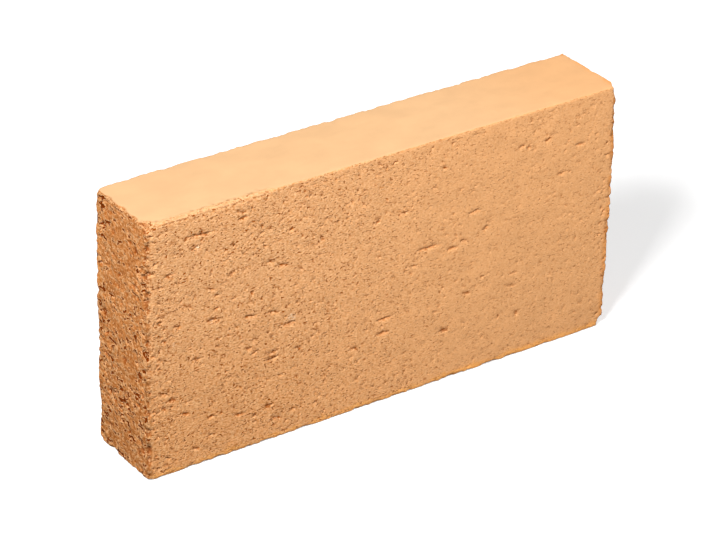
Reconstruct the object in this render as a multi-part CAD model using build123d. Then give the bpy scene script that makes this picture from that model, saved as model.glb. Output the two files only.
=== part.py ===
"""A solid clay brick: one fired piece with no frog and no holes, standing on its long narrow face.

The clay column leaves a die, which shapes the four long arrises. A wire then cuts the two ends. The wire bows a
little under load, so each end is crowned both ways, and the clay tears along the cut, so the ends are pitted and
their arrises are broken. Grit in the die drags scars along the broad faces.
X runs along the length, Y through the thickness and Z up. The broad face that shows in front is at -Y.
The origin is at the middle of the face that the brick stands on.
"""

import os
from math import sqrt

from build123d import *

# Driving dimensions of the brick, in millimetres
LENGTH = 230.0  # over the crowns of the two cut ends
THICKNESS = 38.0
HEIGHT = 115.0

# Ends and arrises
BOW_RADIUS = 5500.0  # how gently a cut end is crowned
DIE_ARRIS_RADIUS = 0.7  # the four long edges
CUT_ARRIS_RADIUS = 0.5  # the edge round each cut end

# Worn stretch of the front top arris, a flat that runs from the left end
WORN_LENGTH = 57.0
WORN_WIDTH = 2.2  # across the top
WORN_DROP = 1.4  # down the front
WORN_STOP = 2.0  # how far the stop leans out at its right end

# Broken corners: how far a break reaches along the length, through the thickness and up or down
CHIP_HOLLOW = 0.45  # depth of the hollow that each break leaves
BROW_CHIP_RUN = 5.2  # left end, front, top
BROW_CHIP_SPAN = 3.2
BROW_CHIP_RISE = 4.4
NAPE_CHIP_RUN = 2.0  # left end, back, top
NAPE_CHIP_SPAN = 2.6
NAPE_CHIP_RISE = 2.4
HEEL_CHIP_RUN = 1.6  # left end, back, bottom
HEEL_CHIP_SPAN = 2.4
HEEL_CHIP_RISE = 1.8
CREST_CHIP_RUN = 2.6  # right end, front, top
CREST_CHIP_SPAN = 5.2
CREST_CHIP_RISE = 7.0

# Round notches that are broken out of two upright arrises. Depths are measured in from the sharp arris, and levels
# are those of their middles, above the face that the brick stands on.
FOOT_NOTCH_RADIUS = 3.6  # right end, front
FOOT_NOTCH_DEPTH = 2.9
FOOT_NOTCH_LEVEL = 1.4
BACK_NOTCH_RADIUS = 1.7  # left end, back
BACK_NOTCH_DEPTH = 1.5
BACK_NOTCH_LEVEL = 18.0

# Bites that the wire tears out of the arrises of a cut end
BITE_RADIUS = 5.5  # hollow of one bite
BITE_DEPTH = 1.6  # deepest bite, measured in from the sharp arris
# Each bite is (place along the arris, depth), as shares of the arris and of BITE_DEPTH. Places on the top and
# bottom arrises count from the front, and those on the upright arrises from the bottom.
LEFT_BITE_SHARES = {
    "top": ((0.24, 0.60), (0.47, 0.75), (0.74, 0.65)),
    "bottom": ((0.28, 0.45), (0.71, 1.00)),
    "front": ((0.13, 0.75), (0.31, 0.60), (0.55, 0.60), (0.71, 0.80)),
    "back": ((0.24, 0.35), (0.48, 0.45), (0.61, 0.65), (0.78, 0.45), (0.92, 0.35)),
}
RIGHT_BITE_SHARES = {
    "top": ((0.46, 0.40), (0.82, 0.30)),
    "bottom": ((0.38, 0.50), (0.69, 0.65)),
    "front": ((0.17, 0.35), (0.39, 0.40), (0.64, 0.30), (0.83, 0.50)),
    "back": ((0.22, 0.45), (0.45, 0.65), (0.64, 0.40), (0.83, 0.55)),
}

# Pits that the wire tears out of a cut end, singly or two together
PIT_WIDTH = 4.6  # largest pit
PIT_DEPTH = 0.9
# Each pit is (place from the front, place from the bottom, size), as shares of THICKNESS, of HEIGHT and of the
# largest pit
LEFT_PIT_SHARES = (
    (0.27, 0.856, 0.6),
    (0.21, 0.878, 0.8),
    (0.11, 0.796, 0.7),
    (0.34, 0.796, 0.5),
    (0.83, 0.883, 0.9),
    (0.54, 0.735, 0.6),
    (0.49, 0.748, 0.5),
    (0.25, 0.735, 0.6),
    (0.73, 0.628, 0.7),
    (0.68, 0.642, 0.6),
    (0.33, 0.619, 0.5),
    (0.84, 0.543, 1.0),
    (0.30, 0.513, 0.5),
    (0.45, 0.417, 0.7),
    (0.20, 0.378, 0.6),
    (0.14, 0.393, 0.7),
    (0.63, 0.348, 0.5),
    (0.20, 0.311, 0.8),
    (0.16, 0.287, 0.5),
    (0.36, 0.261, 0.5),
    (0.76, 0.243, 0.9),
    (0.72, 0.226, 0.5),
    (0.38, 0.135, 0.6),
    (0.18, 0.091, 0.6),
    (0.11, 0.104, 0.8),
    (0.79, 0.096, 0.8),
)
# The right end is pitted like the left one, turned upside down
RIGHT_PIT_SHARES = tuple((1 - across, 1 - up, size) for across, up, size in LEFT_PIT_SHARES)

# Scars that grit has dragged along the broad faces
SCAR_LENGTH = 15.0  # longest scar
SCAR_WIDTH = 1.5
SCAR_DEPTH = 0.7
# Each scar is (place from the left end, place from the bottom, length, tilt in degrees). The first three are shares
# of LENGTH, HEIGHT and SCAR_LENGTH.
FRONT_SCAR_SHARES = (
    (0.107, 0.908, 1.00, -4),
    (0.192, 0.922, 0.33, 0),
    (0.046, 0.787, 0.33, 0),
    (0.917, 0.806, 0.40, -5),
    (0.274, 0.693, 0.42, -14),
    (0.685, 0.665, 0.40, 0),
    (0.583, 0.577, 0.90, 0),
    (0.635, 0.543, 0.47, -8),
    (0.207, 0.530, 0.42, -12),
    (0.289, 0.452, 0.47, 3),
    (0.491, 0.343, 0.60, 0),
    (0.035, 0.330, 0.40, -20),
    (0.487, 0.287, 0.47, 0),
    (0.076, 0.226, 0.35, -25),
    (0.187, 0.148, 0.42, -15),
    (0.265, 0.083, 0.38, -12),
)
# The back has every other one of them, turned upside down
BACK_SCAR_SHARES = tuple((1 - along, 1 - up, long, tilt) for along, up, long, tilt in FRONT_SCAR_SHARES[::2])

OVERRUN = 5.0  # how far a cutting shape runs past what it cuts

FRONT, BACK = -THICKNESS / 2, THICKNESS / 2
LEFT, RIGHT = -1, 1


def arc_radius(half_chord, crown):
    """The radius of an arc that stands out by crown from the middle of its chord."""
    return (half_chord**2 + crown**2) / (2 * crown)


def end_point(end, y, z):
    """The point of the left or right end at that depth and height, before its arrises are broken."""
    reach = LENGTH / 2 - BOW_RADIUS + sqrt(BOW_RADIUS**2 - y**2 - (z - HEIGHT / 2) ** 2)
    return Vector(end * reach, y, z)


def die_column():
    """The column as the die leaves it, with its four long arrises rounded."""
    section = Plane.YZ * Pos(0, HEIGHT / 2) * RectangleRounded(THICKNESS, HEIGHT, DIE_ARRIS_RADIUS)
    return extrude(section, LENGTH / 2 + OVERRUN, both=True)


def ball(centre, seam_side, radius):
    """A ball with its seam turned to that side, and its poles level and square to it, so that they miss the brick."""
    return Plane(origin=centre, x_dir=seam_side, z_dir=seam_side.cross(Vector(0, 0, 1))) * Sphere(radius)


def wire_cut():
    """Everything to the left of the right cut: a ball so large that it leaves the end gently crowned."""
    return ball(Vector(LENGTH / 2 - BOW_RADIUS, 0, HEIGHT / 2), Vector(LEFT, 0, 0), BOW_RADIUS)


def worn_strip():
    """The wedge that wear has taken off the front top arris, with a leaning stop at its right end."""
    slope = WORN_DROP / WORN_WIDTH
    before = (FRONT - OVERRUN, HEIGHT - WORN_DROP - OVERRUN * slope)
    above = (FRONT + WORN_WIDTH + OVERRUN / slope, HEIGHT + OVERRUN)
    outside = (FRONT - OVERRUN, HEIGHT + OVERRUN)
    section = Plane.YZ * make_face(Polyline(before, above, outside, close=True))
    wedge = Pos(-LENGTH / 2 - OVERRUN) * extrude(section, OVERRUN + WORN_LENGTH + WORN_STOP + OVERRUN)
    foot = -LENGTH / 2 + WORN_LENGTH
    across = Vector(foot, FRONT + WORN_WIDTH, HEIGHT)
    down = Vector(foot, FRONT, HEIGHT - WORN_DROP)
    arris = Vector(foot + WORN_STOP, FRONT, HEIGHT)
    stop = Plane(origin=arris, x_dir=down - arris, z_dir=(down - arris).cross(across - arris))
    return split(wedge, bisect_by=stop, keep=Keep.BOTTOM)


def broken_corner(end, y, z, run, span, rise):
    """The ball that breaks off the corner at that end, depth and height. The break is a hollow whose rim passes
    through three points, one on each of the edges that meet at the corner."""
    corner = end_point(end, y, z)
    inward = Vector(-end, -1 if y > 0 else 1, -1 if z > 0 else 1)
    rim = Edge.make_three_point_arc(
        corner + Vector(inward.X * run, 0, 0),
        corner + Vector(0, inward.Y * span, 0),
        corner + Vector(0, 0, inward.Z * rise),
    )
    outward = rim.normal() if rim.normal().dot(inward) < 0 else -rim.normal()
    radius = arc_radius(rim.radius, CHIP_HOLLOW)
    return ball(rim.arc_center + outward * (radius - CHIP_HOLLOW), outward, radius)


def broken_corners():
    return [
        broken_corner(LEFT, FRONT, HEIGHT, BROW_CHIP_RUN, BROW_CHIP_SPAN, BROW_CHIP_RISE),
        broken_corner(LEFT, BACK, HEIGHT, NAPE_CHIP_RUN, NAPE_CHIP_SPAN, NAPE_CHIP_RISE),
        broken_corner(LEFT, BACK, 0, HEEL_CHIP_RUN, HEEL_CHIP_SPAN, HEEL_CHIP_RISE),
        broken_corner(RIGHT, FRONT, HEIGHT, CREST_CHIP_RUN, CREST_CHIP_SPAN, CREST_CHIP_RISE),
    ]


def bite(end, side, y, z, radius, depth):
    """The ball that reaches depth into the arris between an end and the face that looks to side, at (y, z)."""
    outward = (Vector(end, 0, 0) + side).normalized()
    return ball(end_point(end, y, z) + outward * (radius - depth), outward, radius)


def notches():
    return [
        bite(RIGHT, Vector(0, -1, 0), FRONT, FOOT_NOTCH_LEVEL, FOOT_NOTCH_RADIUS, FOOT_NOTCH_DEPTH),
        bite(LEFT, Vector(0, 1, 0), BACK, BACK_NOTCH_LEVEL, BACK_NOTCH_RADIUS, BACK_NOTCH_DEPTH),
    ]


def end_bites(end, bite_shares):
    """The balls that bite the four arrises of an end."""
    # Each arris runs between two corners, given as (y, z), along a face that looks to one side
    arrises = {
        "top": ((FRONT, HEIGHT), (BACK, HEIGHT), Vector(0, 0, 1)),
        "bottom": ((FRONT, 0), (BACK, 0), Vector(0, 0, -1)),
        "front": ((FRONT, 0), (FRONT, HEIGHT), Vector(0, -1, 0)),
        "back": ((BACK, 0), (BACK, HEIGHT), Vector(0, 1, 0)),
    }
    balls = []
    for name, bites in bite_shares.items():
        (start_y, start_z), (finish_y, finish_z), side = arrises[name]
        for place_share, depth_share in bites:
            y = start_y + (finish_y - start_y) * place_share
            z = start_z + (finish_z - start_z) * place_share
            balls.append(bite(end, side, y, z, BITE_RADIUS, BITE_DEPTH * depth_share))
    return balls


def end_pits(end, pit_shares):
    """The balls that pit an end."""
    outward = Vector(end, 0, 0)
    balls = []
    for across_share, up_share, size_share in pit_shares:
        middle = end_point(end, FRONT + THICKNESS * across_share, HEIGHT * up_share)
        depth = PIT_DEPTH * size_share
        radius = arc_radius(PIT_WIDTH * size_share / 2, depth)
        balls.append(ball(middle + outward * (radius - depth), outward, radius))
    return balls


def scar(middle, outward, length, tilt):
    """The wheel that drags one scar along a broad face. Where it dips into the face, its rim is as long as the scar
    and its tread as wide. The seams of both are turned away from the brick."""
    rim_radius = arc_radius(length / 2, SCAR_DEPTH)
    tread_radius = arc_radius(SCAR_WIDTH / 2, SCAR_DEPTH)
    along = Vector(1, 0, 0).rotate(Axis.Y, -tilt)
    hub = rim_radius - SCAR_DEPTH
    tread = Plane(origin=(0, hub + rim_radius - tread_radius, 0), x_dir=(0, -1, 0), z_dir=(1, 0, 0))
    wheel = revolve(tread * Circle(tread_radius), Axis((0, hub, 0), (0, 0, 1)))
    return Plane(origin=middle, x_dir=along, z_dir=along.cross(outward)) * wheel


def face_scars(face, scar_shares):
    """The wheels that scar the broad face at that depth."""
    outward = Vector(0, 1 if face > 0 else -1, 0)
    wheels = []
    for along_share, up_share, length_share, tilt in scar_shares:
        middle = Vector(LENGTH * along_share - LENGTH / 2, face, HEIGHT * up_share)
        wheels.append(scar(middle, outward, SCAR_LENGTH * length_share, tilt))
    return wheels


def make_brick():
    brick = die_column() & wire_cut() & mirror(wire_cut(), Plane.YZ)
    ends = brick.faces().sort_by(Axis.X)
    brick = fillet(ends[0].edges() + ends[-1].edges(), CUT_ARRIS_RADIUS)
    bites = end_bites(LEFT, LEFT_BITE_SHARES) + end_bites(RIGHT, RIGHT_BITE_SHARES)
    pits = end_pits(LEFT, LEFT_PIT_SHARES) + end_pits(RIGHT, RIGHT_PIT_SHARES)
    scars = face_scars(FRONT, FRONT_SCAR_SHARES) + face_scars(BACK, BACK_SCAR_SHARES)
    return brick - [worn_strip(), *broken_corners(), *notches(), *bites, *pits, *scars]


os.makedirs("parts", exist_ok=True)
export_step(make_brick(), "parts/brick.step")
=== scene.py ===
"""Dresses the clay brick: a fine mesh with its marks and torn ends, the clay's finish, light and camera."""

import itertools
from math import cos, pi, radians, sin
from typing import NamedTuple

import bpy
import numpy as np
from mathutils import Matrix, Vector


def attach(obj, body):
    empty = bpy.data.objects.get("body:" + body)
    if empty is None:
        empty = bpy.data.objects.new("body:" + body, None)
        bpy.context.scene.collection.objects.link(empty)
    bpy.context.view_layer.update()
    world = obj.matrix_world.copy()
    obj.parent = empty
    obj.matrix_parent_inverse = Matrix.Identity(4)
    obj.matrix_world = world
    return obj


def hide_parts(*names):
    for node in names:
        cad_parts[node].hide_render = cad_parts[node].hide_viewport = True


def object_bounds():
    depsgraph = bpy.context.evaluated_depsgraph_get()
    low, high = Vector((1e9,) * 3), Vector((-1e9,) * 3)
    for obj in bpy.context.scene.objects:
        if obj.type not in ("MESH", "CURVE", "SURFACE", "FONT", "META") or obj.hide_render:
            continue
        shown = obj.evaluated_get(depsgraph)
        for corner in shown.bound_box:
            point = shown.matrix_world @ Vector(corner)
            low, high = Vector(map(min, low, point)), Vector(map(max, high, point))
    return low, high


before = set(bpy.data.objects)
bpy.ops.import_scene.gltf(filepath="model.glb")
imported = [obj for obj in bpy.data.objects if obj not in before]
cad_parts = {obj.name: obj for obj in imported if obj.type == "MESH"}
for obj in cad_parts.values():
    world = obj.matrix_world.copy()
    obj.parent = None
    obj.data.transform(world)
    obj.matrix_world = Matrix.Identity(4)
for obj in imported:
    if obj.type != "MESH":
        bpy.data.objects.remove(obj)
CAD_LOW, CAD_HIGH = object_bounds()

MM = 0.001  # one millimetre, in metres; the relief below is worked out in millimetres
LENGTH, THICKNESS, HEIGHT = (np.array(CAD_HIGH) - np.array(CAD_LOW)) / MM
X, Y, Z = range(3)

# Mesh
GRID = 0.40  # spacing of the fine mesh that takes the relief
TRIANGLES = 194000  # what is left of it after flat stretches are thinned out
TURN = 4.0  # how far from an arris the way that relief is pressed in starts to turn
LEAST_WEIGHT = 0.01  # a face counts at a point where its share in the point's normal is more than this

# What the solid has: a worn stretch of the front top arris, and crowned ends
WORN_LENGTH, WORN_WIDTH, WORN_DROP = 57.0, 2.2, 1.4
BOW_RADIUS = 5500.0  # how gently the cut ends are crowned

# Seeds of the six faces, and what is added to them for each kind of mark
FRONT, BACK, LEFT, RIGHT, TOP, UNDER = 100, 200, 300, 400, 500, 600
WARPED, MARKED, PITTED, TORN_UP = 10, 20, 40, 60

# Random fields that go all over the brick: how wide their lumps are, and their seed
CRUMBS, FINE_CRUMBS = (4.6, 700), (1.7, 701)  # along the arrises
LINE_DOTS, LINE_CUTS = (1.6, 710), (4.0, 711)  # beside the worn stretch
RAGS = 1.5, 720  # round the scars and pits of the solid
SPLINTERS = 1.6, 730  # on the broken corner
TORN_WIDE, TORN_NARROW = (3.4, 740), (1.3, 741)  # where torn clay reaches round an arris
BOUNCE_PATCHES, FOOT_LINE = (7.0, 750), (5.0, 755)  # patches of painted bounce light on the arrises, and the wavy top of the painted bounce light along the foot
SPOTS = 2.2, 760  # spots of painted shade on the arrises of the left end

# Ground of the faces: its middle depth, then the depth and the width of each layer of its lumps
BROAD_GROUND = 0.10, (0.09, 16.0), (0.06, 5.0), (0.06, 1.8)
SKIN_GROUND = 0.09, (0.035, 14.0), (0.035, 2.2), (0.03, 5.0)
# On the cut ends each layer has one more depth, which is added where the clay is torn
END_GROUND = 0.24, (0.10, 0.20, 2.6), (0.10, 0.16, 1.3)

# Marks in the clay
CROWD = 13.0  # how wide the patches are that have more or fewer marks
LIP = 0.3  # how far the painted shade of a mark is shifted up, under its upper lip, where its shadow falls
BROAD_WARP, END_WARP = (0.50, 1.0), (0.6, 1.5)  # how far marks are pushed out of shape, and by how wide lumps
SCAR_DEPTH = 0.8  # what the depths of the lesser scars are shares of
DARK_DEPTH, END_DARK_DEPTH, SUNK_DARK_DEPTH = 0.25, 0.7, 0.6  # how deep a mark is where its painted shade is full
RELIEF_LOST, GRAIN_LOST = 0.42, 0.62  # how much weaker the front's marks and grain are at its right
RAGGED = 0.35  # how far the outlines of the solid's scars and pits are pushed about
SHALLOW = 0.30  # how deep the pits of an end are where it isn't torn, to what they are where it is
LUMP_FILLS, LUMP_HEIGHT, LUMP_PALE = 0.8, 0.25, 0.4  # what an end's lumps do to its pits, ground and colour

# Crumbled arrises: middle depth, and depths of the coarse and the fine crumbs
CUT_CRUMBLE, DIE_CRUMBLE, CHIP_CRUMBLE = (0.20, 0.45, 0.40), (0.15, 0.30, 0.30), (0.25, 0.6)
LEVEL_SHARE, KEPT_SHARE = 0.6, 0.4  # how much the ends' top arrises crumble, and how much less where kept
LEFT_MORE = 1.2  # how much more the front left arris crumbles
BROW_DEPTH = 0.6  # how deep the top of the right front arris is broken back
FRONT_TOP_SHARE = 0.25  # how much the front top arris crumbles, to what the front's foot does
LINE_DEPTH, DOT_SHARE = 0.2, 0.7  # of the lines beside the worn stretch, and how deep dots are to cuts
# How far torn clay reaches round an arris: in the middle, and by the wide and the narrow lumps
TORN_REACH = 0.8, 2.2, 1.0

# Ranges in millimetres: what they are named for starts at the first value and is at its full at the second
SMOOTHER = -70, 60  # along the front, which gets smoother
TEARS_NEAR = 15.0, 3.0  # from an end, for the tears of the broad faces
PATCHES_NEAR, PATCHES_LOW = (10.0, 3.0), (85.0, 35.0)  # from an arris and from the foot, for torn patches
TOP_NARROWER = 1.5  # how much narrower the first of these is at the top
NEAR_MORE, LOW_MORE = 0.6, 0.4  # how much more of the clay is torn there
BROKEN_NEAR = 8.0, 4.0  # from a broken arris
LEFT_UP, RIGHT_UP = (2.0, 16.0), (84.0, 94.0)  # up the two broken arrises
DARK_NEAR = 3.0, 0.6  # from an arris of the left end, where it has spots of painted shade
UPRIGHT_NEAR, LEVEL_NEAR, LONG_NEAR = (3.0, 0.3), (1.2, 0.1), (1.8, 0.2)  # from an arris, for its crumbs
KEPT_ALONG, KEPT_THROUGH = (60, 100), (-12, -4)  # where the right top arris is kept
TORN_EDGE, TORN_BELOW = (0.7, -0.7), (1.0, 3.0)  # at the border of torn clay, and below the top
SUNK_NEAR, RAGS_NEAR = (1.5, 3.0), (2.0, 4.0)  # from an arris, for scars and pits of the solid
CHIP_NEAR = 6.0, 4.0  # from the corner at the top of the front left arris, which is broken
WORN_STOP = WORN_LENGTH + 2, WORN_LENGTH - 1  # along the worn stretch
LINE_STOP = WORN_LENGTH + 1, WORN_LENGTH - 1  # along the lines beside it
DOT_LINE, CUT_LINE = (0.5, 0.1), (0.6, 0.15)  # from these lines
BOUNCE_NEAR, BOUNCE_BACK = (3.8, 1.4), (6.0, 1.0)  # from the right and lower arrises, and from the back, for the painted bounce light
TINT_TOP, TINT_LEFT = (30, 110), (60, -115)  # along the top and the front, for the orange tint and the painted shade low on the front
TINT_LOW = 90, 0  # down the front, for the orange tint
FOOT_BORDER = 0.6, -0.6  # across the border of the band of painted bounce light along the foot
FOOT_HEIGHT, FOOT_WAVE = 2.2, 1.2  # how high that band is, and its waves
LOW_DOWN = 80, 0  # down the sides, which get darker: painted shade
TOP_ALONG, SIDES_ALONG = (-110, 110), (-115, 10)  # along the top and the sides, which get lighter: painted light

# Ranges of other values, read the same way
TURNED_END, TURNED_UP, FACING = (0.4, 0.8), (0.75, 0.97), (0.5, 0.9)  # of a normal, towards a face
WORN_INSIDE = 1.2, 0.9  # of the worn stretch's width and drop
SOME_DOTS, SOME_CUTS, SOME_BOUNCE = (0.0, 0.5), (-0.6, 0.1), (-0.6, 0.4)  # of a random field

# Colours of the clay, linear, and of the painted shade, bounce light and highlights
CLAY = (0.81, 0.407, 0.169)  # broad faces
SKIN = (0.755, 0.456, 0.234)  # narrow faces, which the die has smoothed
TORN = (0.645, 0.247, 0.070)  # cut ends
HOLLOW_SHADE = (0.37, 0.080, 0.002)  # painted shade inside pits and marks
DEEP_SHADE = (0.21, 0.032, 0.000)  # painted shade inside the pits of the cut ends
PALE = (0.95, 0.70, 0.46)  # grains of lime
SAND_AND_HIGHLIGHT = (0.98, 0.58, 0.28)  # grains of sand, and painted highlights on the lips of the small pits
BOUNCE_AND_TINT = (0.86, 0.35, 0.095)  # painted bounce light on the lower and right arrises and the backs of the ends, and an orange tint at the right of the top and the lower left of the front
FOOT_BOUNCE = (1.00, 0.46, 0.125)  # painted bounce light from the floor along the foot of the broad faces
GRAIN_SHADE, GRAIN_LIGHT = (0.57, 0.32, 0.03), (1.32, 1.53, 1.98)  # painted shade in the grain's hollows and painted light on its crests: how they darken and lighten the clay

# How much of a colour or tone there is
# of the painted bounce light on the arrises, and of the orange tint on the top and the front
BOUNCE_ARRIS, TINT_TOP_SHARE, TINT_FRONT_SHARE = 1.5, 0.5, 0.7
# of the painted bounce light and tint, and of the painted bounce light along the foot
BOUNCE_AND_TINT_SHARE, FOOT_BOUNCE_SHARE = 0.50, 0.8
TOP_PAINTED_LIGHT, SIDE_PAINTED_LIGHT = (0.97, 1.04), (0.955, 1.03)  # painted light, from left to right
TOP_TURNED = 0.7  # a normal's height from which a point counts as on the top
# the lines, the left arrises and the low ends and front are dimmed by painted shade; the worn stretch and the
# broken corner are dimmed too
WORN_DIM, LINE_SHADE, ARRIS_SHADE, CHIP_DIM, END_LOW_SHADE, FRONT_LOW_SHADE = 0.08, 0.40, 0.30, 0.10, 0.10, 0.05
# of the spots of painted shade on the left arrises
SPOT_MIDDLE, SPOT_SHARE = 0.6, 0.4
# painted shade in the crumbled arrises and in the lines beside the worn stretch
CRUMB_SHADE, LINE_HOLLOW_SHADE = 0.6, 0.1
# of the painted shade in hollows, and of the sand with the painted highlights on the lips of the pits
HOLLOW_SHADE_SHARE, SAND_AND_HIGHLIGHT_SHARE = 0.95, 0.60
GRAIN_SHADING, END_GRAIN_SHADING = 0.48, 0.58  # how strongly the grain's painted shade and light show

# Grain and small marks of the finish: how wide they are along the three axes, in millimetres
GRAIN, END_GRAIN = (1.1, 0.70, 0.64), (1.1, 1.3, 0.8)
CRUMB, END_CRUMB = (1.9, 1.05, 0.95), (2.4, 3.0, 1.7)
WISP, SPECK = (2.4, 0.70, 0.70), (1.1, 0.9, 0.9)
MOTTLE, CROWDED = (14.0, 9.0, 9.0), (11.0, 7.0, 7.0)
# The level of a noise below which small marks are cut: where sparse, where crowded and on torn ends
SPARSE_LEVEL, CROWDED_LEVEL, END_LEVEL = 0.368, 0.396, 0.438
SPECK_LEVEL, END_SPECK_LEVEL = 0.72, 0.66  # and above which there are specks of sand
GRAIN_BUMP, MARK_BUMP = 0.30, 0.25  # heights of the grain and of the small marks, in millimetres

# Ranges of the finish's noises, and what comes of them at the two ends of each
MOTTLE_RANGE, MOTTLE_TONES = (0.3, 0.7), (0.96, 1.04)  # how light the clay is
GRAIN_RANGE = 0.36, 0.64  # from the darkest of the grain's painted shade to the lightest of its painted light
CROWDED_RANGE = 0.36, 0.60  # from sparse marks to crowded ones
RELIEF_SHADE_RANGE, RELIEF_SHADE_SHARES = (0.35, 0.65), (1.0, 0.6)  # how much of the relief's painted shade shows through the grain
LIME_RANGE, LIME_SHARES = (0.45, 0.60), (0.1, 0.9)  # and how much of its pale grains
# Borders of the small marks, as steps of the noise from the level at which they are cut
PIT_EDGE = 0.02  # to either side of it
SLOPE = 0.06  # down to the bottom of the slope
LIP_OUTSIDE, LIP_INSIDE = 0.09, 0.04  # up to the two borders of the painted highlight on the pale lip
WISP_DROP, WISP_EDGE = 0.02, 0.04  # down to the level of the wisps, and on to where they are full
SPECK_EDGE = 0.1  # up to where a speck is full

# Light, measured so that 1 renders a colour as it is written
SKY = 0.12
WHITE = 1, 1, 1, 1
FLOOR_SIZE = 8.0  # metres
FLOOR_SEEN = 0.85  # how pale the floor looks
FLOOR_GLOW = 0.35, 1.00  # lifts the floor to white, more so far off, where the lamps fall off
GLOW_RANGE = 0.2, 0.8  # metres from the brick between which the glow grows
FLOOR_BOUNCE = 0.22  # how pale it is to the light that it throws back at the brick
# Each lamp is (name, azimuth from the front, elevation, distance, size, light at the brick)
LAMPS = (
    ("left", -58, 45, 1.00, 0.24, 1.18),
    ("right", 24, 40, 0.62, 0.24, 0.48),
    ("back", 150, 12, 1.00, 0.40, 0.40),
)

# Photograph
IMAGE_WIDTH = 716  # pixels
FOCAL_PIXELS = 3024.1
SENSOR_WIDTH = 36.0  # millimetres
CAMERA_AZIMUTH, CAMERA_ELEVATION, CAMERA_ROLL = -35.467, 29.446, 1.538  # degrees
CAMERA_DISTANCE = 1.2392  # metres from the middle of the brick
CAMERA_ASIDE, CAMERA_UP = -0.002045, -0.004167  # metres


# Random fields, the same on each run

def cell_random(cells, seed):
    """A random number from 0 to 1 for each cell of whole numbers."""
    value = np.full(cells.shape[0], seed, np.uint32)
    for column, factor in zip(cells.T, (374761393, 668265263, 2246822519)):
        value ^= column.astype(np.int64).astype(np.uint32) * np.uint32(factor)
        value = (value ^ (value >> np.uint32(15))) * np.uint32(2654435761)
    value ^= value >> np.uint32(13)
    value *= np.uint32(3266489917)
    value ^= value >> np.uint32(16)
    return value / 2.0**32


def noise(points, size, seed):
    """Smooth noise from -1 to 1 with lumps about size across."""
    scaled = points / size
    cell = np.floor(scaled).astype(np.int64)
    part = scaled - cell
    part = part**3 * (part * (part * 6 - 15) + 10)
    total = np.zeros(len(points))
    for corner in itertools.product((0, 1), repeat=points.shape[1]):
        weight = np.prod(np.where(np.array(corner, bool), part, 1 - part), axis=1)
        total += weight * cell_random(cell + corner, seed)
    return 2 * total - 1


def step(low, high, value):
    """0 at low, 1 at high and a smooth ramp between them."""
    ramp = np.clip((value - low) / (high - low), 0, 1)
    return ramp * ramp * (3 - 2 * ramp)


def between(ends, share):
    """The first of the two ends where the share is 0, and the second where it is 1."""
    return ends[0] + (ends[1] - ends[0]) * share


def dent(points, centre, half_length, half_height, tilt):
    """From 0 outside an oval dent to 1 at its bottom. tilt is in radians."""
    aside, up = (points - centre).T
    along = (aside * np.cos(tilt) + up * np.sin(tilt)) / half_length
    across = (up * np.cos(tilt) - aside * np.sin(tilt)) / half_height
    return np.sqrt(np.clip(1 - along**2 - across**2, 0, 1))


class Marks(NamedTuple):
    """Dents strewn over a face, at most one to a cell and on that share of the cells. lengths, heights and
    depths are ranges, of half sizes for the first two. Each dent is turned by up to tilt, in radians."""

    cell: tuple
    lengths: tuple
    heights: tuple
    depths: tuple
    share: float
    tilt: float


def scatter(points, marks, seed):
    """Depth of marks at the points of a face. Some patches of it have more of them than others."""
    cell = np.array(marks.cell)
    home = np.floor(points / cell).astype(np.int64)
    depth = np.zeros(len(points))
    for offset in itertools.product((-1, 0, 1), repeat=2):
        near = home + offset
        pick = [cell_random(near, seed + index) for index in range(7)]
        centre = (near + np.stack(pick[:2], 1)) * cell
        half_length = between(marks.lengths, pick[2] ** 2)
        half_height = between(marks.heights, pick[3])
        deep = between(marks.depths, pick[4])
        crowded = marks.share * (1 + noise(near * cell, CROWD, seed + 7))
        shape = dent(points, centre, half_length, half_height, marks.tilt * (2 * pick[5] - 1))
        depth = np.maximum(depth, np.where(pick[6] < crowded, deep * shape, 0))
    return depth


def warp(points, amount, size, seed):
    """The points pushed about, so that what is drawn with them has ragged edges."""
    push = [noise(points, size, seed + index) for index in range(points.shape[1])]
    return points + amount * np.stack(push, 1)


# Chance marks of the faces

ANY_WAY = 3.0  # a tilt that turns dents any way
DRAG_MARKS = Marks((5.0, 2.4), (0.5, 1.8), (0.18, 0.33), (0.15, 0.40), 0.26, 0.35)
PITS = Marks((2.6, 2.6), (0.30, 0.7), (0.25, 0.45), (0.25, 0.60), 0.22, ANY_WAY)
TEARS = Marks((3.0, 2.2), (0.50, 1.3), (0.30, 0.55), (0.40, 0.90), 0.32, 0.6)
END_PITS = Marks((2.6, 2.6), (0.5, 1.4), (0.40, 0.75), (0.60, 1.50), 0.42, ANY_WAY)
END_LUMPS = Marks((2.4, 2.4), (0.4, 0.8), (0.30, 0.60), (0.60, 1.00), 0.20, ANY_WAY)
SKIN_PITS = Marks((9.0, 9.0), (0.2, 0.5), (0.20, 0.35), (0.05, 0.15), 0.2, ANY_WAY)
TORN_PATCH = 7.0  # how wide the patches of a cut end are that the wire has torn

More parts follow.
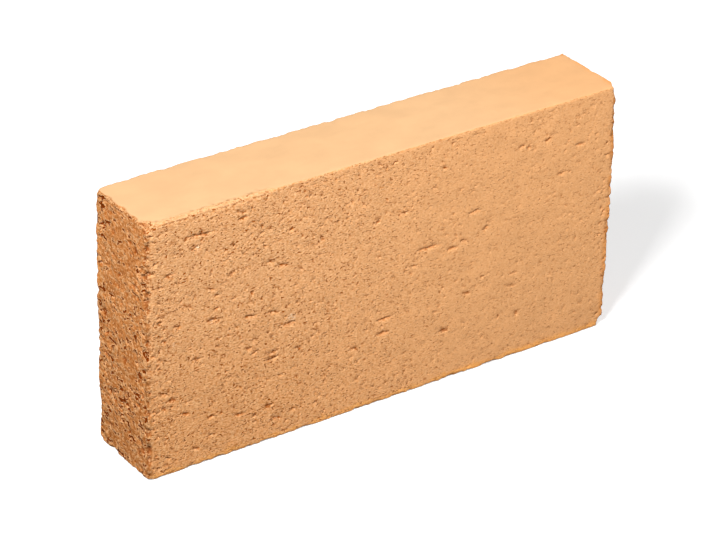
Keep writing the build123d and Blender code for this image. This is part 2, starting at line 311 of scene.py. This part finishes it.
# Lesser scars of the front: middle from left end and top, half sizes, share of SCAR_DEPTH, tilt in degrees
FRONT_SCARS = (
    (25.3, 9.8, 0.9, 1.00, 0.80, 0),
    (43.0, 6.0, 2.8, 0.45, 0.60, -14),
    (22.0, 15.7, 2.4, 0.60, 0.70, 6),
    (53.0, 15.2, 0.9, 0.75, 0.90, 0),
    (53.0, 18.2, 1.3, 0.50, 0.70, 0),
    (40.2, 19.8, 0.8, 0.80, 0.80, 0),
    (67.0, 20.6, 1.2, 0.65, 0.80, 0),
    (2.2, 21.5, 2.4, 0.60, 0.80, -12),
    (7.0, 28.7, 1.6, 0.50, 0.65, -15),
    (57.0, 32.0, 2.0, 0.45, 0.70, -8),
    (30.0, 36.0, 1.5, 0.45, 0.70, 0),
    (39.2, 32.0, 1.9, 0.50, 0.60, 14),
    (32.0, 39.6, 1.0, 0.55, 0.80, 0),
    (48.6, 43.6, 0.7, 1.00, 0.80, 20),
    (31.8, 45.8, 1.5, 0.60, 0.80, -10),
    (14.0, 48.2, 2.2, 0.55, 0.70, 0),
    (30.5, 50.3, 2.8, 0.80, 0.70, 0),
    (58.0, 55.4, 2.4, 0.50, 0.70, -4),
    (47.0, 68.6, 1.2, 0.60, 0.80, 0),
    (49.6, 71.3, 1.4, 0.50, 0.70, 0),
    (22.5, 65.8, 2.0, 0.45, 0.60, -6),
    (70.8, 75.5, 1.5, 0.50, 0.70, 0),
    (98.5, 85.5, 2.2, 0.50, 0.70, -45),
    (58.5, 76.6, 3.2, 0.60, 0.80, 0),
    (58.5, 73.6, 3.4, 0.50, 0.50, 4),
    (11.5, 81.0, 1.8, 0.80, 0.80, 0),
    (29.3, 94.6, 1.4, 0.70, 0.80, 0),
    (57.0, 98.5, 2.2, 0.50, 0.80, 0),
    (49.8, 101.0, 1.2, 0.70, 0.70, 0),
    (29.5, 103.0, 2.2, 0.45, 0.60, -8),
    (68.8, 104.2, 1.2, 0.60, 0.70, 0),
    (22.0, 107.0, 1.7, 0.50, 0.80, -32),
    (9.5, 107.0, 1.6, 0.55, 0.70, -10),
    (62.5, 85.4, 1.4, 0.50, 0.60, 0),
    (81.5, 29.0, 0.9, 1.10, 0.70, 0),
    (108.3, 29.0, 1.1, 0.80, 0.80, 0),
    (121.5, 29.0, 2.4, 0.50, 0.80, 0),
    (116.0, 5.0, 2.0, 0.60, 0.80, 0),
    (140.6, 13.8, 1.4, 0.70, 0.90, -30),
    (136.0, 22.0, 1.5, 0.50, 0.80, 0),
    (144.5, 4.2, 1.0, 0.70, 0.80, 0),
    (163.0, 48.0, 1.9, 0.60, 0.90, 10),
    (152.0, 50.8, 2.0, 0.50, 0.80, 0),
    (127.5, 55.5, 1.8, 0.50, 0.70, 0),
    (180.0, 15.0, 1.6, 0.60, 0.90, 8),
    (183.6, 16.4, 1.0, 0.80, 0.90, 0),
    (193.5, 15.6, 2.0, 0.60, 0.90, 0),
    (201.5, 33.6, 2.0, 0.60, 0.80, 0),
    (154.5, 76.2, 2.2, 0.50, 0.80, -15),
    (178.5, 74.0, 2.6, 0.60, 0.60, -8),
    (178.0, 79.8, 2.8, 0.70, 0.60, -8),
    (162.5, 71.0, 1.2, 0.70, 0.80, 0),
    (143.5, 91.0, 2.4, 0.90, 0.90, 0),
    (172.0, 93.2, 0.8, 0.90, 0.80, 0),
    (181.8, 94.2, 1.2, 0.90, 0.80, -20),
)

# Pale grains of the front face: middle from the left end and from the top, and radius
FRONT_GRAINS = (
    (13.4, 55.6, 1.5),
    (23.5, 15.8, 0.8),
    (29.8, 50.6, 1.0),
    (67.5, 60.5, 1.8),
    (34.5, 97.0, 0.8),
    (38.5, 105.5, 0.9),
    (57.0, 105.0, 0.9),
)


def on_front(u, v):
    """Where a place on the front is, from how far it is from the left end and from the top."""
    return u - LENGTH / 2, HEIGHT - v


def ground(flat, layers, seed):
    """Depth of the lumps of a face."""
    middle, *lumps = layers
    depths = [depth * noise(flat, width, seed + index) for index, (depth, width) in enumerate(lumps)]
    return sum(depths, middle)


def broad_hollow(flat, seed, scars):
    """Depth of the drag marks along the length, the pits and the scars of a broad face, and of the tears
    beside its ends."""
    torn = warp(flat, *BROAD_WARP, seed + WARPED)
    tears = scatter(torn, TEARS, seed + TORN_UP) * step(*TEARS_NEAR, LENGTH / 2 - np.abs(flat[:, 0]))
    hollow_and_shade = np.maximum(scatter(torn, DRAG_MARKS, seed + MARKED), scatter(torn, PITS, seed + PITTED))
    hollow_and_shade = np.maximum(hollow_and_shade, tears)
    for u, v, half_length, half_height, share, tilt in scars:
        scar = dent(torn, on_front(u, v), half_length, half_height, radians(tilt))
        hollow_and_shade = np.maximum(hollow_and_shade, SCAR_DEPTH * share * scar)
    return hollow_and_shade


def broad_relief(x, z, seed, strength=1.0, scars=(), grains=()):
    """Relief on a broad face: lumps, drag marks, pits, tears and scars. Gives its depth, its painted shade,
    which is most under the upper lips of the marks, where their shadow falls, and how pale."""
    flat = np.stack([x, z], 1)
    hollow_and_shade = strength * broad_hollow(flat, seed, scars)
    dark = strength**2 * broad_hollow(flat - (0, LIP), seed, scars) / DARK_DEPTH
    pale = np.zeros(len(x))
    for u, v, radius in grains:
        pale = np.maximum(pale, dent(flat, on_front(u, v), radius, radius, 0))
    return np.stack([np.maximum(ground(flat, BROAD_GROUND, seed), 0) + hollow_and_shade, dark, pale])


def torn_patches(y, z, seed):
    """1 in the patches of a cut end that the wire has torn, most of them near its arrises and its foot."""
    near = step(*PATCHES_NEAR, np.minimum(THICKNESS / 2 - np.abs(y), TOP_NARROWER * (HEIGHT - z)))
    low = step(*PATCHES_LOW, z)
    return step(0, 1, noise(np.stack([y, z], 1), TORN_PATCH, seed) + NEAR_MORE * near + LOW_MORE * low)


def end_relief(y, z, seed):
    """Relief on a cut end, where the wire has torn the clay in patches. Gives what broad_relief does."""
    flat = np.stack([y, z], 1)
    torn = warp(flat, *END_WARP, seed + WARPED)
    patch = torn_patches(y, z, seed)
    middle, (coarse, coarse_torn, coarse_width), (fine, fine_torn, fine_width) = END_GROUND
    land = middle + (coarse + coarse_torn * patch) * noise(torn, coarse_width, seed + 1)
    land += (fine + fine_torn * patch) * noise(flat, fine_width, seed + 2)
    lumps = scatter(torn, END_LUMPS, seed + TORN_UP)
    hollow_and_shade = scatter(torn, END_PITS, seed + PITTED) * between((SHALLOW, 1), patch) * (1 - LUMP_FILLS * lumps)
    depth = np.maximum(land - LUMP_HEIGHT * lumps, 0) + hollow_and_shade
    # the second row is the painted shade of the pits
    return np.stack([depth, hollow_and_shade / END_DARK_DEPTH, LUMP_PALE * lumps])


def skin_relief(x, y, seed):
    """Relief on a narrow face, which the die leaves smooth. Gives what broad_relief does."""
    flat = np.stack([x, y], 1)
    pits = scatter(flat, SKIN_PITS, seed + MARKED)
    # the second row is the painted shade of the pits
    return np.stack([ground(flat, SKIN_GROUND, seed) + pits, pits, np.zeros(len(x))])


def face_relief(place, normal):
    """Depth, painted shade and paleness of the relief of the six faces, blended where they meet."""
    weight = normal**4
    weight /= weight.sum(axis=1, keepdims=True)
    total = np.zeros((3, len(place)))

    def add(axis, side, field):
        here = (weight[:, axis] > LEAST_WEIGHT) & (side * normal[:, axis] > 0)
        total[:, here] += weight[here, axis] * field(*place[here].T)

    def front_relief(x, y, z):
        strength = 1 - RELIEF_LOST * step(*SMOOTHER, x)
        return broad_relief(x, z, FRONT, strength, FRONT_SCARS, FRONT_GRAINS)

    add(Y, -1, front_relief)
    add(Y, 1, lambda x, y, z: broad_relief(x, z, BACK))
    add(X, -1, lambda x, y, z: end_relief(y, z, LEFT))
    add(X, 1, lambda x, y, z: end_relief(y, z, RIGHT))
    add(Z, 1, lambda x, y, z: skin_relief(x, y, TOP))
    add(Z, -1, lambda x, y, z: skin_relief(x, y, UNDER))
    return total


# Arrises and the worn stretch

def from_faces(place):
    """How far each point is from the nearest end, the nearest broad face and the nearest narrow face."""
    x, y, z = place.T
    bow = (y**2 + (z - HEIGHT / 2) ** 2) / (2 * BOW_RADIUS)
    return np.stack([LENGTH / 2 - bow - np.abs(x), THICKNESS / 2 - np.abs(y), np.minimum(z, HEIGHT - z)], 1)


def from_arris(place):
    """How far each point is from the nearest arris."""
    return np.sort(from_faces(place), axis=1)[:, 1]


def left_front(place):
    """1 round the front left arris, which is broken most, and 0 away from it and at its foot."""
    x, y, z = place.T
    return step(*BROKEN_NEAR, np.maximum(x + LENGTH / 2, y + THICKNESS / 2)) * step(*LEFT_UP, z)


def right_brow(place):
    """1 at the top of the right front arris, which is broken back, and 0 away from it."""
    x, y, z = place.T
    return step(*BROKEN_NEAR, np.maximum(LENGTH / 2 - x, y + THICKNESS / 2)) * step(*RIGHT_UP, z)


def left_arris_shade(place):
    """About 1 on the front and the top arris of the left end, where spots of painted shade dim the broken
    clay that faces the left lamp, and 0 elsewhere."""
    x, y, z = place.T
    end, bed, lid = from_faces(place).T
    front = np.where(y < 0, bed, THICKNESS)
    top = np.where(z > HEIGHT / 2, lid, HEIGHT)
    here = step(*DARK_NEAR, np.maximum(end, np.minimum(front, top))) * (x < 0)
    return here * (SPOT_MIDDLE + SPOT_SHARE * noise(place, *SPOTS))


def crumble(place):
    """How deep the arrises have crumbled: well at the cut ends and the foot, little along the front top."""
    x, y, z = place.T
    end, bed, lid = from_faces(place).T
    coarse, fine = noise(place, *CRUMBS), noise(place, *FINE_CRUMBS)

    def crumbs(middle, coarse_depth, fine_depth):
        return np.clip(middle + coarse_depth * coarse + fine_depth * fine, 0, None)

    kept = step(*KEPT_ALONG, x) * step(*KEPT_THROUGH, y)
    upright = step(*UPRIGHT_NEAR, np.maximum(end, bed))
    level = (LEVEL_SHARE - KEPT_SHARE * kept) * step(*LEVEL_NEAR, np.maximum(end, lid))
    torn = np.maximum(upright, level) * crumbs(*CUT_CRUMBLE) * (1 + LEFT_MORE * left_front(place))
    torn += BROW_DEPTH * right_brow(place) * upright
    wear_and_shade = step(*LONG_NEAR, np.maximum(bed, lid)) * crumbs(*DIE_CRUMBLE)
    return torn + wear_and_shade * np.where(y > 0, 1.0, between((FRONT_TOP_SHARE, 1), step(HEIGHT, 0, z)))


def torn_clay(place, cut):
    """How far the clay is torn as on the cut ends, which reaches round their upright arrises in places."""
    end, bed, lid = from_faces(place).T
    middle, wide, narrow = TORN_REACH
    reach = middle + wide * noise(place, *TORN_WIDE) + narrow * noise(place, *TORN_NARROW)
    return np.maximum(cut, step(*TORN_EDGE, end - reach) * step(*TORN_BELOW, lid))


def sunk(place):
    """How deep the solid itself is hollowed by its scars and pits, clear of its arrises."""
    return from_faces(place).min(axis=1) * step(*SUNK_NEAR, from_arris(place))


def ragged(place):
    """The points pushed about within their faces, so that the solid's scars and pits get ragged outlines."""
    width, seed = RAGS
    push = np.stack([noise(place, width, seed + axis) for axis in (X, Y, Z)], 1)
    np.put_along_axis(push, from_faces(place).argmin(axis=1)[:, None], 0, axis=1)
    return place + RAGGED * push * step(*RAGS_NEAR, from_arris(place))[:, None]


def broken_corner(place):
    """1 on the broken corner at the top of the front left arris, and 0 away from it."""
    corner = (-LENGTH / 2, -THICKNESS / 2, HEIGHT)
    return step(*CHIP_NEAR, np.linalg.norm(place - corner, axis=1))


def worn_stretch(place):
    """1 on the worn stretch of the front top arris, and 0 away from it."""
    x, y, z = place.T
    inside = np.maximum((y + THICKNESS / 2) / WORN_WIDTH, (HEIGHT - z) / WORN_DROP)
    return step(*WORN_INSIDE, inside) * step(*WORN_STOP, x + LENGTH / 2)


def worn_lines(place):
    """How deep the lines beside the worn stretch are, from 0 to 1: dots along the upper one, a cut along the
    lower."""
    x, y, z = place.T
    upper = np.maximum(np.abs(y + THICKNESS / 2 - WORN_WIDTH), HEIGHT - z)
    lower = np.maximum(np.abs(HEIGHT - z - WORN_DROP), y + THICKNESS / 2)
    dots = DOT_SHARE * step(*DOT_LINE, upper) * step(*SOME_DOTS, noise(place, *LINE_DOTS))
    cut = step(*CUT_LINE, lower) * step(*SOME_CUTS, noise(place, *LINE_CUTS))
    return np.maximum(dots, cut) * step(*LINE_STOP, x + LENGTH / 2)


# What the finish needs to know at each point

def bounce_and_tint(place, normal, cut, end):
    """How much painted bounce light and tint the clay gets: bounce light in patches at the foot, the right
    arrises and the back of the ends, and an even tint at the right of the top and the lower left of the
    front."""
    x, y, z = place.T
    arris = np.maximum(step(*BOUNCE_NEAR, z), step(*BOUNCE_NEAR, LENGTH / 2 - x) * (1 - cut))
    arris = np.maximum(arris, end * step(*BOUNCE_BACK, THICKNESS / 2 - y))
    arris *= BOUNCE_ARRIS * step(*SOME_BOUNCE, noise(place, *BOUNCE_PATCHES))
    top = TINT_TOP_SHARE * step(*TINT_TOP, x) * step(*FACING, normal[:, Z])
    front = TINT_FRONT_SHARE * step(*TINT_LOW, z) * step(*TINT_LEFT, x) * step(*FACING, -normal[:, Y])
    return np.maximum(np.maximum(arris, top), front)


def foot_bounce_band(place, end):
    """1 in the band of painted bounce light along the foot of the broad faces, and 0 above it."""
    above = place[:, Z] - FOOT_HEIGHT - FOOT_WAVE * noise(place, *FOOT_LINE)
    return step(*FOOT_BORDER, above) * (1 - end)


def tones_with_painted_light(place, normal, end, skin, chip, lines):
    """How light the clay is, with painted light and shade: lighter to the right and darker low down, on the
    lines and on the left arrises; the worn stretch and the broken corner are dimmed too.
    """
    x, y, z = place.T
    top, sides = between(TOP_PAINTED_LIGHT, step(*TOP_ALONG, x)), between(SIDE_PAINTED_LIGHT, step(*SIDES_ALONG, x))
    # painted shade, darker towards the bottom of the ends and of the front's left
    low = step(*LOW_DOWN, z) * (END_LOW_SHADE * end + FRONT_LOW_SHADE * (1 - end) * step(*TINT_LEFT, x))
    # painted shade on the left arrises, and the dimmed broken corner
    arris_shade_and_chip = ARRIS_SHADE * (1 - skin) * left_arris_shade(place) + CHIP_DIM * chip
    # the lines beside the worn stretch are dimmed with painted shade
    dimmed = WORN_DIM * worn_stretch(place) + LINE_SHADE * lines + arris_shade_and_chip + low
    return np.where(normal[:, Z] > TOP_TURNED, top, sides) * (1 - dimmed)


def relief(place, normal):
    """Depth of the relief at each point of the solid's surface, and what the finish needs to know there."""
    x, y, z = place.T
    depth, hollow_and_shade, pale = face_relief(place, normal)
    lines = worn_lines(place)
    chip = broken_corner(place)
    middle, splinters = CHIP_CRUMBLE
    crumbled = crumble(place) + LINE_DEPTH * lines
    crumbled += chip * np.clip(middle + splinters * noise(place, *SPLINTERS), 0, None)
    cut = step(*TURNED_END, np.abs(normal[:, X]))
    end = torn_clay(place, cut)
    skin = step(*TURNED_UP, np.abs(normal[:, Z])) * (1 - chip)
    faded = step(*SMOOTHER, x) * (y < 0) * (1 - cut)
    # painted shade in the marks and in the solid's own scars and pits
    dark = hollow_and_shade + (1 - RELIEF_LOST * faded) * sunk(place) / SUNK_DARK_DEPTH
    looks = {
        "end": end,
        "torn": end * np.where(x < 0, torn_patches(y, z, LEFT), torn_patches(y, z, RIGHT)),
        "skin": skin,
        # painted shade in the hollows, the crumbled arrises and the lines
        "hollow_and_shade": np.clip(dark + CRUMB_SHADE * crumbled + LINE_HOLLOW_SHADE * lines, 0, 1),
        "pale": np.clip(pale, 0, 1),
        # painted bounce light on the arrises, and an orange tint
        "edge_bounce_and_tint": bounce_and_tint(place, normal, cut, end),
        # painted bounce light from the floor along the foot
        "foot": foot_bounce_band(place, end),
        "strength": 1 - GRAIN_LOST * faded,
        # mostly painted light and shade
        "tone_with_painted_light": tones_with_painted_light(place, normal, end, skin, chip, lines),
    }
    return depth + crumbled, looks


# Mesh of the brick

def inward(place):
    """Which way the relief is pressed in: square to each face, and turning smoothly round the arrises."""
    middle = (np.array(CAD_LOW) + np.array(CAD_HIGH)) / 2 / MM
    half = np.array([LENGTH, THICKNESS, HEIGHT]) / 2
    aside = place - middle
    past = np.sign(aside) * np.clip(np.abs(aside) - (half - TURN), 0, None)
    return -past / np.linalg.norm(past, axis=1, keepdims=True)


def bake_modifiers(piece):
    """Turns the piece's modifiers into its mesh."""
    graph = bpy.context.evaluated_depsgraph_get()
    done = bpy.data.meshes.new_from_object(piece.evaluated_get(graph))
    piece.modifiers.clear()
    piece.data = done


def points_of(mesh):
    """The mesh's points in millimetres, one to a row."""
    place = np.empty(len(mesh.vertices) * 3)
    mesh.vertices.foreach_get("co", place)
    return place.reshape(-1, 3) / MM


def move_points(mesh, place):
    """Puts the mesh's points at these places in millimetres, and keeps them within the solid's box."""
    place = np.clip(place, np.array(CAD_LOW) / MM, np.array(CAD_HIGH) / MM)
    mesh.vertices.foreach_set("co", (place * MM).ravel())
    mesh.update()


def make_brick():
    """A fine mesh of the solid, pressed in by the relief and then thinned out where it is flat."""
    piece = bpy.data.objects.new("brick_body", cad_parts["brick"].data.copy())
    bpy.context.scene.collection.objects.link(piece)
    fine = piece.modifiers.new("fine", "REMESH")
    fine.mode = "VOXEL"
    fine.voxel_size = GRID * MM
    bake_modifiers(piece)

    mesh = piece.data
    place = points_of(mesh)
    normal = np.empty(place.size)
    mesh.vertex_normals.foreach_get("vector", normal)
    depth, looks = relief(place, normal.reshape(-1, 3))
    move_points(mesh, ragged(place) + inward(place) * depth[:, None])
    for name, values in looks.items():
        mesh.attributes.new(name, "FLOAT", "POINT").data.foreach_set("value", values.astype(np.float32))

    thin = piece.modifiers.new("thin", "DECIMATE")
    thin.ratio = TRIANGLES / (2 * len(mesh.polygons))
    bake_modifiers(piece)
    move_points(piece.data, points_of(piece.data))
    piece.data.shade_smooth()
    print("brick:", len(place), "fine points,", len(piece.data.polygons), "faces kept")
    return piece


# Finish of the clay

class Graph:
    """Adds the nodes of a material and joins them. A value is a number, a colour or another node's output."""

    def __init__(self, tree):
        self.nodes = tree.nodes
        self.links = tree.links

    def add(self, kind, sockets, output=0, **settings):
        node = self.nodes.new(kind)
        for name, value in settings.items():
            setattr(node, name, value)
        for socket, value in sockets.items():
            self.join(value, node.inputs[socket])
        return node.outputs[output]

    def join(self, value, socket):
        if isinstance(value, bpy.types.NodeSocket):
            self.links.new(value, socket)
        elif isinstance(value, tuple) and len(value) == 3 and socket.type == "RGBA":
            socket.default_value = (*value, 1)
        else:
            socket.default_value = value

    def math(self, operation, first, second):
        return self.add("ShaderNodeMath", {0: first, 1: second}, operation=operation)

    def plus(self, first, second):
        return self.math("ADD", first, second)

    def times(self, first, second):
        return self.math("MULTIPLY", first, second)

    def most(self, first, second):
        return self.math("MAXIMUM", first, second)

    def mix(self, share, first, second):
        """The first colour where the share is 0, and the second where it is 1."""
        return self.add("ShaderNodeMix", {0: share, 6: first, 7: second}, output=2, data_type="RGBA")

    def blend(self, share, first, second):
        """The first number where the share is 0, and the second where it is 1."""
        return self.add("ShaderNodeMix", {0: share, 2: first, 3: second})

    def ramp(self, value, low, high, start=0.0, finish=1.0):
        """start where the value is low, finish where it is high and a ramp between them."""
        sockets = {"Value": value, "From Min": low, "From Max": high, "To Min": start, "To Max": finish}
        return self.add("ShaderNodeMapRange", sockets)

    def scale(self, colour, factor):
        return self.add("ShaderNodeVectorMath", {0: colour, "Scale": factor}, operation="SCALE")

    def multiply(self, colour, factors):
        return self.add("ShaderNodeVectorMath", {0: colour, 1: factors}, operation="MULTIPLY")

    def look(self, name):
        """What relief has found out at the point."""
        return self.add("ShaderNodeAttribute", {}, output="Fac", attribute_name=name)

    def place(self):
        return self.add("ShaderNodeTexCoord", {}, output="Object")

    def cloud(self, sizes, detail=3.0):
        """Noise with lumps of these sizes along the three axes, in millimetres."""
        place = self.multiply(self.place(), tuple(1 / (size * MM) for size in sizes))
        return self.add("ShaderNodeTexNoise", {"Vector": place, "Scale": 1.0, "Detail": detail})


def new_material(name):
    """A matt material, the graph of its nodes and the inputs of its shader."""
    material = bpy.data.materials.new(name)
    material.use_nodes = True
    graph = Graph(material.node_tree)
    inputs = graph.nodes["Principled BSDF"].inputs
    inputs["Roughness"].default_value = 1.0
    inputs["Specular IOR Level"].default_value = 0.0
    return material, graph, inputs


def fired_clay():
    material, graph, inputs = new_material("fired_clay")
    end, skin = graph.look("end"), graph.look("skin")
    rough = graph.times(graph.math("SUBTRACT", 1.0, skin), graph.look("strength"))
    grain = graph.blend(end, graph.cloud(GRAIN), graph.cloud(END_GRAIN))
    crumbs = graph.blend(end, graph.cloud(CRUMB), graph.cloud(END_CRUMB))

    # Clay of each face, mottled, with its grain redder where it is dark and paler where it is light: painted
    # shade in the grain's hollows and painted light on its crests
    colour = graph.mix(skin, graph.mix(end, CLAY, TORN), SKIN)
    # painted bounce light on the arrises, and an orange tint
    colour = graph.mix(graph.times(graph.look("edge_bounce_and_tint"), BOUNCE_AND_TINT_SHARE), colour, BOUNCE_AND_TINT)
    # painted bounce light from the floor along the foot
    colour = graph.mix(graph.times(graph.look("foot"), FOOT_BOUNCE_SHARE), colour, FOOT_BOUNCE)
    colour = graph.scale(colour, graph.ramp(graph.cloud(MOTTLE), *MOTTLE_RANGE, *MOTTLE_TONES))
    # painted light and shade of the tone
    colour = graph.scale(colour, graph.look("tone_with_painted_light"))
    dark, light = graph.multiply(colour, GRAIN_SHADE), graph.multiply(colour, GRAIN_LIGHT)
    grain_shading_share = graph.times(rough, graph.blend(end, GRAIN_SHADING, END_GRAIN_SHADING))
    colour = graph.mix(grain_shading_share, colour, graph.mix(graph.ramp(grain, *GRAIN_RANGE), dark, light))

    # Small marks, finer than the mesh: pits with slopes and pale lips, and thin wisps; the pits and wisps are
    # darkened with painted shade, and the lips are painted highlights
    crowded = graph.ramp(graph.cloud(CROWDED, detail=1.0), *CROWDED_RANGE)
    crowded = graph.blend(end, crowded, graph.look("torn"))
    level = graph.blend(crowded, SPARSE_LEVEL, graph.blend(end, CROWDED_LEVEL, END_LEVEL))
    pits = graph.ramp(crumbs, graph.plus(level, PIT_EDGE), graph.plus(level, -PIT_EDGE))
    slopes = graph.ramp(crumbs, level, graph.plus(level, -SLOPE))
    lips = graph.ramp(crumbs, graph.plus(level, LIP_OUTSIDE), graph.plus(level, LIP_INSIDE))
    lips = graph.math("SUBTRACT", lips, pits)
    thin = graph.plus(level, -WISP_DROP)
    wisps = graph.ramp(graph.cloud(WISP, detail=2.0), thin, graph.plus(thin, -WISP_EDGE))
    wisps = graph.times(wisps, graph.math("SUBTRACT", 1.0, end))
    pits = graph.times(graph.most(pits, wisps), rough)
    slopes = graph.times(graph.most(slopes, wisps), rough)

    # Painted shade of the relief and of the small marks, sand with the painted highlights of the lips, and
    # lime
    wear_and_shade = graph.times(graph.look("hollow_and_shade"), graph.ramp(grain, *RELIEF_SHADE_RANGE, *RELIEF_SHADE_SHARES))
    hollow_and_shade = graph.times(graph.most(wear_and_shade, pits), HOLLOW_SHADE_SHARE)
    colour = graph.mix(hollow_and_shade, colour, graph.mix(end, HOLLOW_SHADE, DEEP_SHADE))
    scarce = graph.blend(end, SPECK_LEVEL, END_SPECK_LEVEL)
    specks = graph.ramp(graph.cloud(SPECK, detail=0.0), scarce, graph.plus(scarce, SPECK_EDGE))
    # sand specks, and painted highlights on the lips of the pits
    specks_and_highlights = graph.times(graph.most(specks, lips), graph.times(rough, SAND_AND_HIGHLIGHT_SHARE))
    colour = graph.mix(specks_and_highlights, colour, SAND_AND_HIGHLIGHT)
    lime = graph.times(graph.look("pale"), graph.ramp(grain, *LIME_RANGE, *LIME_SHARES))
    colour = graph.mix(lime, colour, PALE)

    # Height of the grain and of the small marks, in millimetres
    height = graph.times(grain, graph.times(GRAIN_BUMP, rough))
    height = graph.math("SUBTRACT", height, graph.times(slopes, MARK_BUMP))
    graph.join(graph.add("ShaderNodeBump", {"Height": height, "Distance": MM}), inputs["Normal"])
    graph.join(colour, inputs["Base Color"])
    return material


# Stage, light and camera

def link_object(name, data):
    thing = bpy.data.objects.new(name, data)
    bpy.context.scene.collection.objects.link(thing)
    return thing


def direction(azimuth, elevation):
    """The way from the brick to what stands at that azimuth, from the front to the right, and elevation."""
    a, e = radians(azimuth), radians(elevation)
    return Vector((sin(a) * cos(e), -cos(a) * cos(e), sin(e)))


def place_camera():
    data = bpy.data.cameras.new("camera")
    data.sensor_width = SENSOR_WIDTH
    data.lens = FOCAL_PIXELS * data.sensor_width / IMAGE_WIDTH
    camera = link_object("camera", data)
    back = direction(CAMERA_AZIMUTH, CAMERA_ELEVATION)
    level = Vector((0, 0, 1)).cross(back).normalized()
    upright = back.cross(level)
    roll = radians(CAMERA_ROLL)
    right = cos(roll) * level + sin(roll) * upright
    up = cos(roll) * upright - sin(roll) * level
    turn = Matrix((right, up, back)).transposed().to_4x4()
    middle = (CAD_LOW + CAD_HIGH) / 2
    away = CAMERA_ASIDE * right + CAMERA_UP * up + CAMERA_DISTANCE * back
    camera.matrix_world = Matrix.Translation(middle + away) @ turn
    bpy.context.scene.camera = camera


def hang_lamps():
    middle = (CAD_LOW + CAD_HIGH) / 2
    for name, azimuth, elevation, distance, size, light in LAMPS:
        data = bpy.data.lights.new(name, "AREA")
        data.size = size
        data.energy = light * (pi * distance) ** 2
        lamp = link_object(name, data)
        towards = direction(azimuth, elevation)
        lamp.location = middle + distance * towards
        lamp.rotation_euler = towards.to_track_quat("Z", "Y").to_euler()


def seen(graph):
    """1 where the camera looks, straight or through a mirror or glass, and 0 where light only bounces."""
    path = graph.nodes.new("ShaderNodeLightPath")
    mirrored = graph.most(path.outputs["Is Glossy Ray"], path.outputs["Is Transmission Ray"])
    return graph.most(path.outputs["Is Camera Ray"], mirrored)


def set_stage():
    scene = bpy.context.scene
    scene.view_settings.view_transform = "Standard"
    scene.world = bpy.data.worlds.new("studio")
    scene.world.use_nodes = True
    graph = Graph(scene.world.node_tree)
    sky = graph.nodes["Background"].inputs
    sky["Color"].default_value = WHITE
    graph.join(graph.blend(seen(graph), SKY, 1.0), sky["Strength"])

    half = FLOOR_SIZE / 2
    corners = [(-half, -half, 0), (half, -half, 0), (half, half, 0), (-half, half, 0)]
    mesh = bpy.data.meshes.new("floor")
    mesh.from_pydata(corners, [], [(0, 1, 2, 3)])
    floor = link_object("floor", mesh)
    paper, graph, inputs = new_material("paper")
    shown = seen(graph)
    away = graph.add("ShaderNodeVectorMath", {0: graph.place()}, output="Value", operation="LENGTH")
    glow = graph.times(shown, graph.ramp(away, *GLOW_RANGE, *FLOOR_GLOW))
    graph.join(graph.blend(shown, FLOOR_BOUNCE, FLOOR_SEEN), inputs["Base Color"])
    graph.join(glow, inputs["Emission Strength"])
    inputs["Emission Color"].default_value = WHITE
    mesh.materials.append(paper)


brick = make_brick()
brick.data.materials.clear()
brick.data.materials.append(fired_clay())
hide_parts("brick")
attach(brick, "root")
set_stage()
hang_lamps()
place_camera()
